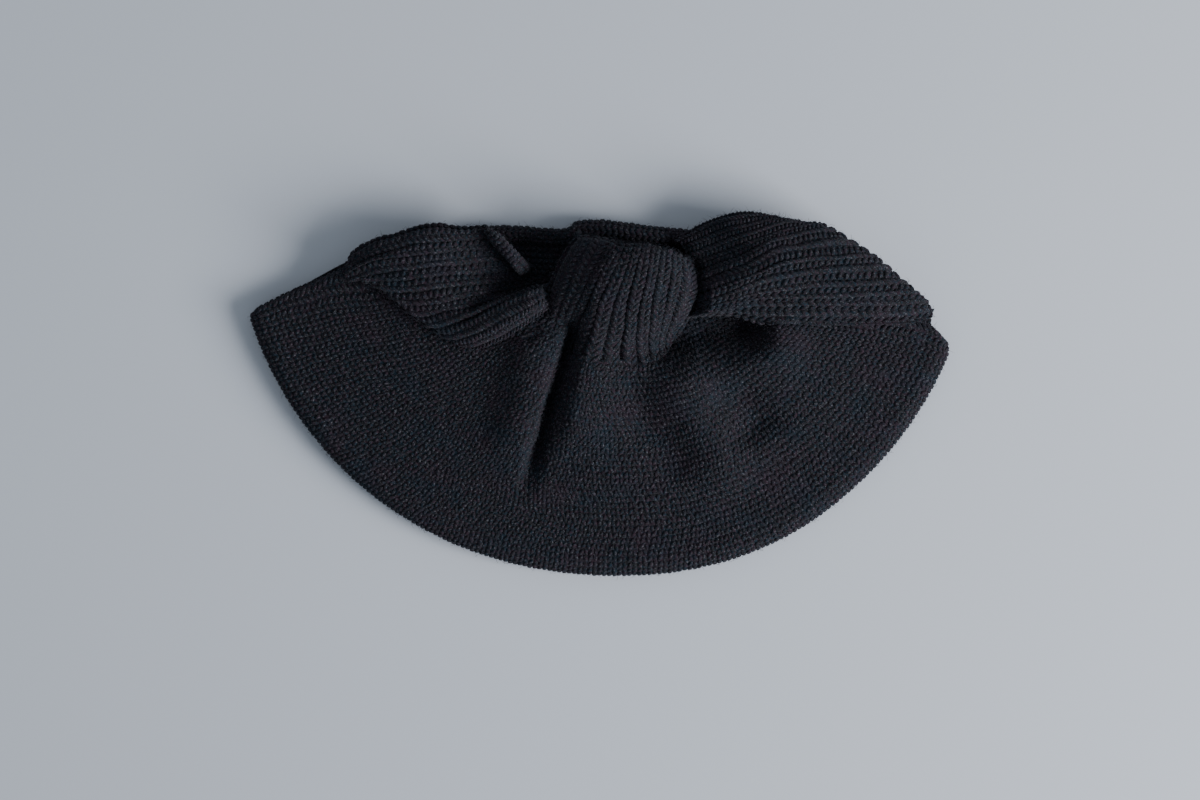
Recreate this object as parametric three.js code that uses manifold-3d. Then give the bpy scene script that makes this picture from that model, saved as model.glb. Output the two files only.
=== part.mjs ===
// Knitted turban hat with a knotted front band, lying flat on its back wall. Millimetres, +Z up.
// X runs from the wearer's right corner to the left one, +Y points out of the mouth, where the head
// goes in. The origin is on the floor under the middle of the hat.
import * as THREE from "three";
import { mergeVertices } from "three/addons/utils/BufferGeometryUtils.js";
import Module from "manifold-3d";

const wasm = await Module();
wasm.setup();

// Driving dimensions
const WALL = 4.2; // knitted wall of the crown
const BAND_WALL = 4.6; // ribbed wall of the band
const GAP = 0.35; // between neighbouring pieces
const BOX_MIDDLE = { x: 0.02, y: 0.55 }; // of the whole hat, which the origin lies under
const RIM_CENTRE = new THREE.Vector2(0, 98); // of the round folded edge
const RIM_RADIUS = { left: 190.3, right: 196.3 };
const RIM_ANGLE = { left: -73.6, right: 69.4 }; // degrees from straight down
const CORNER_ROUND = { left: 5, right: 9 };
const FOLD_RISE = 7; // half the height of the folded edge
const FOLD_HEIGHT = 14; // of the top wall just inside the fold
const CROWN_RISE = 12; // more height towards the knot
const CROWN_RISE_RUN = 120; // distance from the rim over which it rises
const FOLD_EASE = 2; // added to the rise to round the fold into the top wall
const FOLD_FADE = 0.35; // share of a crown fold's line over which it fades out
const LEAST_ROOM = 7; // height left between the crown's walls in its grooves
const CROWN_MIDDLE = new THREE.Vector2(0, 40); // of its plan
const MOUTH_FLOOR = WALL; // height of the back wall's inside
const MOUTH_TOP = 70; // clear of everything above the mouth
const MOUTH_FAR = 140; // beyond the back edge

// The back wall's straight edge, which the mouth opens over
const BACK_EDGE = [
  { x: -148, y: 61 },
  { x: -128, y: 71 },
  { x: -100, y: 78 },
  { x: -57, y: 83 },
  { x: 0, y: 84 },
  { x: 52, y: 82 },
  { x: 100, y: 79 },
  { x: 138, y: 64 },
  { x: 172, y: 40 },
];

// The front wall ends at this edge, under the band
const FRONT_EDGE = [
  { x: -131, y: 59 },
  { x: -90, y: 54 },
  { x: -30, y: 50 },
  { x: 50, y: 50 },
  { x: 120, y: 50 },
  { x: 157, y: 44 },
];

// Folds of the top wall: a ridge is positive, a groove negative. Each runs along its own line.
const CROWN_FOLDS = [
  { height: -12, left: 4, right: 9.5, line: [[-17, 34], [-24, 10], [-30.5, -10], [-34.5, -28], [-41, -56]] },
  { height: 4, left: 7, right: 16, line: [[-6, 22], [-11, 0], [-17, -35]] },
  { height: 6, left: 13, right: 10, line: [[28, 18], [47, -7], [60, -28], [76, -56]] },
  { height: -3, left: 10, right: 10, line: [[20, 0], [24, -16], [38, -34], [46, -46]] },
  { height: -4, left: 14, right: 14, line: [[62, 10], [76, -8], [86, -26]] },
  { height: -10, left: 11, right: 11, line: [[42, 30], [54, 28], [68, 27], [84, 29], [104, 32]] },
  { height: 5, left: 10, right: 12, line: [[-36, 22], [-43, -8], [-52, -38]] },
];

// The two halves of the band. front and back are the long edges, from the knot outwards, and end is
// the fold across the ribs.
const WINGS = {
  wing_left: {
    front: [[-20, 46], [-31, 43.5], [-47, 33.5], [-62, 26.5], [-75.5, 23]],
    back: [[-20, 62], [-35, 64], [-57, 86], [-83, 88], [-107, 81.5], [-130, 77], [-146, 63]],
    end: [[-75.5, 23], [-88.5, 31.5], [-101.5, 40], [-112, 49], [-138, 58], [-146, 63]],
    crest: [34, 38, 37, 33, 28],
    frontEdge: [36, 36, 35, 33, 30],
    backEdge: [32, 31, 30, 28, 23],
    hollow: { at: [-41, 66], deep: 9, wide: 9 },
  },
  wing_right: {
    front: [[44, 44], [52, 42.4], [70, 43], [83, 38.7], [99, 36.7], [120, 36.1], [146, 35.6], [172, 37]],
    back: [[44, 84], [52, 88], [60, 92.3], [73, 94.4], [91, 93.3], [104, 91.3]],
    end: [[172, 37], [173, 43.4], [158.6, 58], [145.6, 68.4], [135, 76.2], [119.6, 87.1], [104, 91.3]],
    crest: [38, 43, 42, 37, 27],
    frontEdge: [34, 35, 33, 29, 22],
    backEdge: [29, 29, 31, 32, 32],
    hollow: { at: [62, 80], deep: 6, wide: 14 },
  },
};

// Outline of the knot seen from above, round its middle
const KNOT = {
  middle: [12, 50],
  sides: 36,
  top: 53,
  waist: 30, // height of its widest line
  foot: 20, // of its underside over the mouth
  top_power: 2.6, // how square its top and its underside are
  foot_power: 4,
  outline: [
    [53.5, 52], [51, 62], [46.8, 68.4], [41.6, 73.6], [33.8, 77.7], [26, 80.5], [20.8, 83.5], [13, 82.9],
    [5.2, 81.5], [-4.2, 84.5], [-9, 82.9], [-14.6, 77.7], [-20.8, 68.4], [-26, 58], [-28.6, 50.2],
    [-25, 42], [-17, 34.6], [-14, 24], [-4, 16.5], [10.4, 14], [24, 15.5], [32.2, 19], [38, 25],
    [42.6, 34.6], [49, 42.5],
  ],
};
const NECK = { y: 54, z: 32, half_width: 9, half_height: 7, left_x: -27, meet_x: 12, right_x: 52 };

// The band behind the knot: its outer edge, with a raised roll
const BACK_BAND = {
  edge: [[-120, 72], [-100, 79], [-57, 88.5], [-20, 87], [-12, 91], [2, 91.5], [22, 89], [47, 86.5],
    [100, 82], [136, 65]],
  width: 34,
  layer: 4,
  seam: 2, // height of its side edges over its underside
  top_round: 4,
  foot_round: 2.5,
  roll: { width: 11, height: 12.5, fade: 8 }, // fade is how fast it starts at both ends
};

const clamp = THREE.MathUtils.clamp;
const mix = THREE.MathUtils.lerp;
const smooth = (t) => THREE.MathUtils.smoothstep(t, 0, 1);
const edgeRound = (d, radius) => (d >= radius ? 1 : Math.sqrt(Math.max(0, 1 - (1 - d / radius) ** 2)));

// A smooth curve through points in the plane, by share of its length
function curve(points) {
  const vectors = points.map((p) => {
    const [x, y] = Array.isArray(p) ? p : [p.x, p.y];
    return new THREE.Vector3(x, y, 0);
  });
  return new THREE.CatmullRomCurve3(vectors, false, "centripetal");
}

// A value along evenly spaced stations
function along(values, t) {
  const place = clamp(t, 0, 1) * (values.length - 1);
  const first = Math.min(Math.floor(place), values.length - 2);
  return mix(values[first], values[first + 1], smooth(place - first));
}

// Closed solid from a grid of plan points with a top and a bottom height, which meet round its border
function cushion(us, vs, plan, top, bottom) {
  const positions = [];
  const index = [];
  const onBorder = (i, j) => i === 0 || j === 0 || i === us.length - 1 || j === vs.length - 1;
  const ids = { top: [], bottom: [] };
  us.forEach((u, i) => {
    ids.top.push([]);
    ids.bottom.push([]);
    vs.forEach((v, j) => {
      const p = plan(u, v);
      ids.top[i].push(positions.length / 3);
      positions.push(p.x, p.y, top(u, v, p));
      if (onBorder(i, j)) {
        ids.bottom[i].push(ids.top[i][j]);
      } else {
        ids.bottom[i].push(positions.length / 3);
        positions.push(p.x, p.y, bottom(u, v, p));
      }
    });
  });
  const quad = (a, b, c, d) => index.push(a, b, c, a, c, d);
  for (let i = 0; i < us.length - 1; i += 1) {
    for (let j = 0; j < vs.length - 1; j += 1) {
      const t = ids.top;
      const b = ids.bottom;
      quad(t[i][j], t[i + 1][j], t[i + 1][j + 1], t[i][j + 1]);
      quad(b[i][j + 1], b[i + 1][j + 1], b[i + 1][j], b[i][j]);
    }
  }
  return toManifold(positions, index);
}

// Closed solid from a middle, rings round it, and a top and a bottom height
function dome(outline, middle, rings, top, bottom) {
  const positions = [middle[0], middle[1], top(0, 0), middle[0], middle[1], bottom(0, 0)];
  const index = [];
  const n = outline.length;
  const id = (side, ring, k) => {
    const around = ((k % n) + n) % n;
    if (ring === rings.length - 1) {
      return 2 + (rings.length - 1) * n * 2 + around;
    }
    return 2 + (ring * 2 + side) * n + around;
  };
  rings.forEach((share, ring) => {
    const sides = ring === rings.length - 1 ? [top] : [top, bottom];
    sides.forEach((height) => {
      outline.forEach(([x, y], k) => {
        const px = mix(middle[0], x, share);
        const py = mix(middle[1], y, share);
        positions.push(px, py, height(share, k / n, px, py));
      });
    });
  });
  for (let k = 0; k < n; k += 1) {
    index.push(0, id(0, 0, k), id(0, 0, k + 1));
    index.push(1, id(1, 0, k + 1), id(1, 0, k));
    for (let ring = 0; ring < rings.length - 1; ring += 1) {
      const [a, b] = [id(0, ring, k), id(0, ring, k + 1)];
      const [c, d] = [id(0, ring + 1, k + 1), id(0, ring + 1, k)];
      index.push(a, d, c, a, c, b);
      const [e, f] = [id(1, ring, k), id(1, ring, k + 1)];
      const [g, h] = [id(1, ring + 1, k + 1), id(1, ring + 1, k)];
      index.push(e, g, h, e, f, g);
    }
  }
  return toManifold(positions, index);
}

function toManifold(positions, index) {
  let geometry = new THREE.BufferGeometry();
  geometry.setAttribute("position", new THREE.Float32BufferAttribute(positions, 3));
  geometry.setIndex(index);
  geometry = mergeVertices(geometry, 1e-4);
  const corners = geometry.index.array;
  const mesh = new wasm.Mesh({
    numProp: 3,
    vertProperties: new Float32Array(geometry.attributes.position.array),
    triVerts: new Uint32Array(facesOut(positions, index) ? corners : corners.toReversed()),
  });
  return new wasm.Manifold(mesh);
}

// Whether the faces of a closed mesh point out, from the sign of its volume
function facesOut(positions, index) {
  const corner = (k) => new THREE.Vector3().fromArray(positions, index[k] * 3);
  let volume = 0;
  for (let k = 0; k < index.length; k += 3) {
    volume += corner(k).dot(corner(k + 1).cross(corner(k + 2)));
  }
  return volume > 0;
}

// Upright block over an outline of plan points
function block(points, low, high) {
  const shape = new THREE.Shape(points.map(([x, y]) => new THREE.Vector2(x, y)));
  let geometry = new THREE.ExtrudeGeometry(shape, { depth: high - low, bevelEnabled: false });
  geometry.translate(0, 0, low);
  geometry.deleteAttribute("normal");
  geometry.deleteAttribute("uv");
  geometry = mergeVertices(geometry);
  return toManifold([...geometry.attributes.position.array], [...geometry.index.array]);
}

// Crown: plan of the round rim and the straight edge

const backEdge = curve(BACK_EDGE);

function rimPoint(u) {
  const share = (u + 1) / 2;
  const angle = THREE.MathUtils.degToRad(mix(RIM_ANGLE.left, RIM_ANGLE.right, share));
  const radius = mix(RIM_RADIUS.left, RIM_RADIUS.right, smooth((u + 0.1) / 0.6));
  const round = u < 0 ? CORNER_ROUND.left : CORNER_ROUND.right;
  const turn = THREE.MathUtils.degToRad(RIM_ANGLE.right - RIM_ANGLE.left);
  const toEnd = ((1 - Math.abs(u)) * radius * turn) / 2;
  const pulled = radius - round * (1 - edgeRound(toEnd, round));
  const x = RIM_CENTRE.x + pulled * Math.sin(angle);
  const y = RIM_CENTRE.y - pulled * Math.cos(angle);
  return new THREE.Vector2(x, y);
}

function crownPlan(u, v) {
  const rim = rimPoint(u);
  const edge = backEdge.getPoint((u + 1) / 2);
  return new THREE.Vector2(mix(rim.x, edge.x, v), mix(rim.y, edge.y, v));
}

// Distance to the nearest edge of the plan
function crownEdgeDistance(u, v) {
  const rim = rimPoint(u);
  const edge = backEdge.getPoint((u + 1) / 2);
  const length = rim.distanceTo(edge);
  const width = crownPlan(-1, v).distanceTo(crownPlan(1, v));
  return Math.min(v * length, (1 - v) * length, ((1 - Math.abs(u)) * width) / 2);
}

// How far a point is beside a line of points, positive to its right, and its share along the line
function beside(line, x, y) {
  let best = { distance: Infinity, side: 1, share: 0 };
  for (let k = 0; k < line.length - 1; k += 1) {
    const [ax, ay] = line[k];
    const [dx, dy] = [line[k + 1][0] - ax, line[k + 1][1] - ay];
    const t = clamp(((x - ax) * dx + (y - ay) * dy) / (dx * dx + dy * dy), 0, 1);
    const distance = Math.hypot(x - ax - dx * t, y - ay - dy * t);
    if (distance < best.distance) {
      const side = dx * (y - ay) - dy * (x - ax) > 0 ? 1 : -1;
      best = { distance, side, share: (k + t) / (line.length - 1) };
    }
  }
  return best;
}

// Height of the crown's top wall away from its folded edge. Further inside it, a groove is wider.
function crownHeight(x, y, inside = 0) {
  const fromRim = RIM_RADIUS.left - Math.hypot(x - RIM_CENTRE.x, y - RIM_CENTRE.y);
  let height = FOLD_HEIGHT + CROWN_RISE * smooth(fromRim / CROWN_RISE_RUN);
  CROWN_FOLDS.forEach((fold) => {
    const { distance, side, share } = beside(fold.line, x, y);
    const groove = fold.height < 0 ? inside : 0;
    const width = (side > 0 ? fold.right : fold.left) + groove;
    const fade = smooth((1 - share) / FOLD_FADE);
    height += fold.height * fade * Math.exp(-((distance / width) ** 2));
  });
  return Math.max(height, 2 * WALL + LEAST_ROOM);
}

// Shares of the crown's depth near its folded edge
const SPREAD = [0, 0.008, 0.03, 0.07];
const fromBothEnds = (middle) => [...SPREAD, ...middle, ...SPREAD.map((s) => 1 - s).reverse()];
const steps = (count, low, high) => Array.from({ length: count }, (_, k) => mix(low, high, k / (count - 1)));

// Outer form of the crown, grown outwards on top for its neighbours
function crownForm(grow) {
  const us = [-1, -0.993, -0.97, ...steps(52, -0.93, 0.93), 0.97, 0.993, 1];
  const vs = fromBothEnds(steps(9, 0.15, 0.85));
  const top = (u, v, p) => {
    const round = edgeRound(crownEdgeDistance(u, v), FOLD_RISE + FOLD_EASE);
    return FOLD_RISE + grow + (crownHeight(p.x, p.y) - FOLD_RISE) * round;
  };
  const bottom = (u, v) => FOLD_RISE * (1 - edgeRound(crownEdgeDistance(u, v), FOLD_RISE)) - grow;
  const plan = (u, v) => {
    const p = crownPlan(u, v);
    const share = clamp(1 - crownEdgeDistance(u, v) / FOLD_RISE, 0, 1);
    return p.add(p.clone().sub(CROWN_MIDDLE).setLength(1.5 * grow * share));
  };
  return cushion(us, vs, plan, top, bottom);
}

// Room inside the crown: its form, a wall further in
function crownRoom() {
  const us = [-1, -0.97, ...steps(30, -0.92, 0.92), 0.97, 1];
  const vs = [0, 0.02, ...steps(8, 0.08, 0.92), 0.98, 1];
  const inset = (u, v) => {
    const length = rimPoint(u).distanceTo(backEdge.getPoint((u + 1) / 2));
    const margin = WALL / length;
    const width = crownPlan(-1, v).distanceTo(crownPlan(1, v));
    return [u * (1 - (2 * WALL) / width), mix(margin, 1 - margin, v)];
  };
  const plan = (u, v) => crownPlan(...inset(u, v));
  const middle = FOLD_RISE;
  const half = FOLD_RISE - WALL;
  const round = (u, v) => edgeRound(crownEdgeDistance(...inset(u, v)) - WALL, half + 1);
  const top = (u, v, p) => middle + (crownHeight(p.x, p.y, WALL) - WALL - middle) * round(u, v);
  const bottom = (u, v) => middle - half * round(u, v);
  return cushion(us, vs, plan, top, bottom);
}

// Everything over the back wall beyond the front wall's edge
function mouth(shrink) {
  const front = curve(FRONT_EDGE).getPoints(24).map((p) => [p.x, p.y + shrink]);
  front[0][0] += shrink;
  front[front.length - 1][0] -= shrink;
  const corners = [[front[front.length - 1][0], MOUTH_FAR], [front[0][0], MOUTH_FAR]];
  return block([...front, ...corners], MOUTH_FLOOR + shrink, MOUTH_TOP);
}

// Band halves

function coons(piece) {
  const front = curve(piece.front);
  const back = curve(piece.back);
  const end = curve(piece.end);
  const start = [front.getPoint(0), back.getPoint(0)];
  const corner = { front: front.getPoint(1), back: back.getPoint(1) };
  return (a, b) => {
    const across = front.getPoint(a).multiplyScalar(1 - b).add(back.getPoint(a).multiplyScalar(b));
    const inner = start[0].clone().multiplyScalar(1 - b).add(start[1].clone().multiplyScalar(b));
    const outer = end.getPoint(b);
    const lengthwise = inner.multiplyScalar(1 - a).add(outer.clone().multiplyScalar(a));
    const corners = start[0].clone().multiplyScalar((1 - a) * (1 - b))
      .add(start[1].clone().multiplyScalar((1 - a) * b))
      .add(corner.front.clone().multiplyScalar(a * (1 - b)))
      .add(corner.back.clone().multiplyScalar(a * b));
    const p = across.add(lengthwise).sub(corners);
    return new THREE.Vector2(p.x, p.y);
  };
}

const WING_EDGE = 7; // how far in the rolled edges round over
const WING_DEPTH = 13; // from the top of a rolled edge to its underside
const WING_ARCH = 0.8; // the lower, the flatter the arch between its edges
// Room inside a band half, in shares of its length and width
const WING_ROOM = { from: 0.12, to: 0.86, side: 0.16, round: 0.1, depth: 4 * BAND_WALL };

function wingTop(piece, a, b, x, y) {
  const low = b < 0.5 ? along(piece.frontEdge, a) : along(piece.backEdge, a);
  const arch = Math.sin(Math.PI * clamp(b, 0, 1)) ** WING_ARCH;
  const hollow = Math.hypot(x - piece.hollow.at[0], y - piece.hollow.at[1]) / piece.hollow.wide;
  return mix(low, along(piece.crest, a), arch) - piece.hollow.deep * Math.exp(-hollow * hollow);
}

function wing(piece) {
  const plan = coons(piece);
  const distance = (a, b) => {
    const width = plan(a, 0).distanceTo(plan(a, 1));
    const length = plan(0, b).distanceTo(plan(1, b));
    return Math.min(b * width, (1 - b) * width, (1 - a) * length);
  };
  const as = [0, ...steps(9, 0.08, 0.88), 0.94, 0.98, 1];
  const bs = [0, 0.02, 0.08, ...steps(6, 0.17, 0.83), 0.92, 0.98, 1];
  const level = (a, b, p) => wingTop(piece, a, b, p.x, p.y);
  const top = (a, b, p) => level(a, b, p) - WING_DEPTH / 2 * (1 - edgeRound(distance(a, b), WING_EDGE));
  const bottom = (a, b, p) => {
    const under = Math.min(level(a, b, p) - WING_DEPTH, level(a, b, p) - BAND_WALL * 2);
    return mix(level(a, b, p) - WING_DEPTH / 2, under, edgeRound(distance(a, b), WING_EDGE));
  };
  const outer = cushion(as, bs, plan, top, bottom);
  const inset = (a, b) => [
    mix(WING_ROOM.from, WING_ROOM.to, a),
    mix(WING_ROOM.side, 1 - WING_ROOM.side, b),
  ];
  const roomPlan = (a, b) => plan(...inset(a, b));
  const roomAt = (a, b, p, down) => level(...inset(a, b), p) - down;
  const shares = [0, 0.08, 0.25, 0.5, 0.75, 0.92, 1];
  const corner = (a, b) => 1 - edgeRound(Math.min(a, 1 - a, b, 1 - b), WING_ROOM.round);
  const roomTop = (a, b, p) => roomAt(a, b, p, BAND_WALL * (1 + corner(a, b)));
  const roomBottom = (a, b, p) => roomAt(a, b, p, WING_ROOM.depth);
  const room = cushion(shares, shares, roomPlan, roomTop, roomBottom);
  return outer.subtract(room);
}

// The gathered stretch of the band inside the knot
function neck(fromX, toX, grow) {
  const sides = 16;
  const xs = steps(3, fromX, toX);
  const positions = [];
  const index = [];
  xs.forEach((x) => {
    for (let k = 0; k < sides; k += 1) {
      const turn = (2 * Math.PI * k) / sides;
      const y = NECK.y + (NECK.half_width + grow) * Math.cos(turn);
      const z = NECK.z + (NECK.half_height + grow) * Math.sin(turn);
      positions.push(x, y, z);
    }
  });
  const first = positions.length / 3;
  positions.push(fromX, NECK.y, NECK.z, toX, NECK.y, NECK.z);
  const turned = toX > fromX ? 1 : -1;
  const face = (a, b, c) => (turned > 0 ? index.push(a, b, c) : index.push(a, c, b));
  for (let k = 0; k < sides; k += 1) {
    const next = (k + 1) % sides;
    for (let i = 0; i < xs.length - 1; i += 1) {
      face(i * sides + k, i * sides + next, (i + 1) * sides + next);
      face(i * sides + k, (i + 1) * sides + next, (i + 1) * sides + k);
    }
    const last = (xs.length - 1) * sides;
    face(first, next, k);
    face(first + 1, last + k, last + next);
  }
  return toManifold(positions, index);
}

// Knot

function knotForm(grow) {
  const points = KNOT.outline.map(([x, y]) => new THREE.Vector3(x, y, 0));
  const closed = new THREE.CatmullRomCurve3(points, true, "centripetal");
  const outline = closed.getSpacedPoints(KNOT.sides).slice(0, KNOT.sides).map((p) => {
    const [dx, dy] = [p.x - KNOT.middle[0], p.y - KNOT.middle[1]];
    const length = Math.hypot(dx, dy);
    return [p.x + (dx / length) * grow, p.y + (dy / length) * grow];
  });
  const rings = [0.25, 0.5, 0.7, 0.84, 0.93, 0.98, 1];
  const swell = (share, power) => Math.sqrt(Math.max(0, 1 - share ** power));
  const rise = KNOT.top + grow - KNOT.waist;
  const drop = KNOT.waist - KNOT.foot + grow;
  const top = (share) => KNOT.waist + rise * swell(share, KNOT.top_power);
  const bottom = (share) => KNOT.waist - drop * swell(share, KNOT.foot_power);
  return dome(outline, KNOT.middle, rings, top, bottom);
}

// Band behind the knot

function backBand(grow) {
  const edge = curve(BACK_BAND.edge);
  const width = BACK_BAND.width + 2 * grow;
  const length = edge.getLength();
  const plan = (u, v) => {
    const p = edge.getPoint(u);
    return new THREE.Vector2(p.x + 4 * grow * (u - 0.5), p.y + grow - width * v);
  };
  const us = [0, 0.01, ...steps(22, 0.05, 0.95), 0.99, 1];
  const vs = [0, 0.04, 0.15, 0.3, 0.45, 0.9, 0.98, 1];
  const floor = MOUTH_FLOOR + GAP;
  const seam = floor + BACK_BAND.seam;
  const { roll, top_round, foot_round } = BACK_BAND;
  const distance = (u, v) => Math.min(v * width, (1 - v) * width, u * length, (1 - u) * length);
  const rollAt = (u, v) => smooth(1.5 - (v * width) / roll.width) * smooth(Math.min(u, 1 - u) * roll.fade);
  const level = (u, v) => mix(floor + BACK_BAND.layer, roll.height, rollAt(u, v));
  const top = (u, v) => grow + mix(seam, level(u, v), edgeRound(distance(u, v), top_round));
  const bottom = (u, v) => mix(seam, floor, edgeRound(distance(u, v), foot_round)) - grow;
  return cushion(us, vs, plan, top, bottom);
}

// The hat

const FINISH = {
  crown: { color: 0x1c1d22, roughness: 0.95, metalness: 0 },
  band: { color: 0x1a1b1f, roughness: 0.95, metalness: 0 },
};

function addPiece(group, name, solid, finish) {
  const { vertProperties, triVerts, numProp } = solid.getMesh();
  const positions = [];
  for (let k = 0; k < vertProperties.length; k += numProp) {
    positions.push(vertProperties[k], vertProperties[k + 1], vertProperties[k + 2]);
  }
  const geometry = new THREE.BufferGeometry();
  geometry.setAttribute("position", new THREE.Float32BufferAttribute(positions, 3));
  geometry.setIndex([...triVerts]);
  geometry.computeVertexNormals();
  const mesh = new THREE.Mesh(geometry, new THREE.MeshStandardMaterial(finish));
  mesh.name = name;
  group.add(mesh);
}

const hat = new THREE.Group();
const crownOutside = crownForm(0);
const crown = crownOutside.subtract(crownRoom()).subtract(mouth(0));
const frontWallZone = crownForm(GAP).subtract(mouth(GAP));
const knotZone = knotForm(GAP);
const leftNeck = neck(NECK.meet_x - GAP / 2, NECK.left_x, 0);
const rightNeck = neck(NECK.meet_x + GAP / 2, NECK.right_x, 0);
const neckZone = neck(NECK.left_x - 10, NECK.right_x + 10, GAP);
const backBandZone = backBand(GAP);

addPiece(hat, "crown", crown, FINISH.crown);
const clearOfCrown = (solid) => solid.subtract(frontWallZone).subtract(backBandZone);
const bandHalf = (piece, gathered) => clearOfCrown(wing(piece).subtract(knotZone).add(gathered));

addPiece(hat, "wing_left", bandHalf(WINGS.wing_left, leftNeck), FINISH.band);
addPiece(hat, "wing_right", bandHalf(WINGS.wing_right, rightNeck), FINISH.band);
addPiece(hat, "knot", clearOfCrown(knotForm(0).subtract(neckZone)), FINISH.crown);
addPiece(hat, "back_band", backBand(0), FINISH.band);

hat.position.set(-BOX_MIDDLE.x, -BOX_MIDDLE.y, 0);

export default hat;
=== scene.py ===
import math

import bpy
import numpy as np
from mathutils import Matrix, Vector


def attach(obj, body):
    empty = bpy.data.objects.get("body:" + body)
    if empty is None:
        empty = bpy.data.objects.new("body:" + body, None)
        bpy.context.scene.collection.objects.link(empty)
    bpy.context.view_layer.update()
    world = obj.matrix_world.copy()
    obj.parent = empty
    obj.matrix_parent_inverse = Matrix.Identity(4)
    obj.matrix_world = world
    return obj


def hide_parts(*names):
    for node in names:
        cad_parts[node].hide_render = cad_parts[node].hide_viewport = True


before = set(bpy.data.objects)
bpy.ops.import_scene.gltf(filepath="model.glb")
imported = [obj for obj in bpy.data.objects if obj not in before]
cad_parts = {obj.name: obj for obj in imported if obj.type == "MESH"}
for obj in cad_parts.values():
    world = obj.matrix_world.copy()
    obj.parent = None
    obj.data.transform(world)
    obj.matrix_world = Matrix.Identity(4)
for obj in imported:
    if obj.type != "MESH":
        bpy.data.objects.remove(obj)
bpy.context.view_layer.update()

# The knit hat's looks: each wall as a smooth shell, with the knit's own yarn laid over it leg by leg.
# Lengths are in millimetres until a mesh is made, and in metres for the floor, the light and the camera.
# +Z is up from the floor, +Y points out of the mouth.

MM = 0.001
BOX_MIDDLE = np.array([0.02, 0.55, 0.0])  # of the hat's box, which the frame's origin lies under

WALL = 4.2  # knitted wall of the crown
BAND_WALL = 4.6  # ribbed wall of the band
STITCH_WIDE = 5.4
STITCH_HIGH = 3.1
RIB_WIDE = 6.0

RIM_CENTRE = (0.0, 98.0)  # of the round folded edge
RIM_RADIUS = (190.3, 196.3)  # at the left and at the right
RIM_ANGLE = (-73.6, 69.4)  # degrees from straight down
RIM_SPAN = RIM_ANGLE[1] - RIM_ANGLE[0]
CORNER_ROUND = (5.0, 9.0)
FOLD_RISE = 7.0  # half the height of the folded edge
FOLD_REACH = 9.0  # how far in from the rim the top wall levels out
FOLD_HEIGHT = 14.0
CROWN_RISE = 12.0
CROWN_RISE_RUN = 120.0

rng = np.random.default_rng(11)


# Plain helpers


def smooth(t):
    t = np.clip(t, 0.0, 1.0)
    return t * t * (3 - 2 * t)


def edge_round(d, radius):
    return np.sqrt(np.clip(1 - (1 - np.clip(d / radius, 0, 1)) ** 2, 0, 1))


def mix(a, b, t):
    return a * (1 - t) + b * t


CURVE_SAMPLES = 24  # points on a smooth line for each given one


def curve(points):
    """A dense smooth line through points."""
    p = np.asarray(points, float)
    p = np.vstack([2 * p[:1] - p[1:2], p, 2 * p[-1:] - p[-2:-1]])
    out = []
    t = np.linspace(0, 1, CURVE_SAMPLES, endpoint=False)[:, None]
    for a, b, c, d in zip(p[:-3], p[1:-2], p[2:-1], p[3:]):
        square = 2 * a - 5 * b + 4 * c - d
        cube = 3 * b - a - 3 * c + d
        out.append(0.5 * (2 * b + (c - a) * t + square * t**2 + cube * t**3))
    out.append(p[-2:-1])
    return np.vstack(out)


def run_of(line):
    """How far along a line each of its points is."""
    return np.concatenate([[0], np.cumsum(np.linalg.norm(np.diff(line, axis=0), axis=1))])


def at(line, share):
    """Points on a line by share of its length."""
    run = run_of(line)
    place = np.clip(share, 0, 1) * run[-1]
    return np.stack([np.interp(place, run, line[:, k]) for k in range(line.shape[1])], axis=-1)


def beside(line, x, y):
    """Signed distance to a line of points, positive on its right, and the share along it."""
    line = np.asarray(line, float)
    best = np.full(np.shape(x), np.inf)
    side = np.ones(np.shape(x))
    share = np.zeros(np.shape(x))
    for k in range(len(line) - 1):
        (ax, ay), (dx, dy) = line[k], line[k + 1] - line[k]
        t = np.clip(((x - ax) * dx + (y - ay) * dy) / (dx * dx + dy * dy), 0, 1)
        far = np.hypot(x - ax - dx * t, y - ay - dy * t)
        nearer = far < best
        best = np.where(nearer, far, best)
        side = np.where(nearer, np.where(dx * (y - ay) - dy * (x - ax) > 0, 1.0, -1.0), side)
        share = np.where(nearer, (k + t) / (len(line) - 1), share)
    return best * side, share


def inside(outline, x, y):
    """Whether plan points lie in a closed outline."""
    found = np.zeros(np.shape(x), bool)
    for (ax, ay), (bx, by) in zip(outline, np.roll(outline, -1, axis=0)):
        crosses = (ay > y) != (by > y)
        with np.errstate(divide="ignore", invalid="ignore"):
            found ^= crosses & (x < (bx - ax) * (y - ay) / (by - ay) + ax)
    return found


def unit(v):
    return v / np.maximum(np.linalg.norm(v, axis=-1, keepdims=True), 1e-9)


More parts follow.
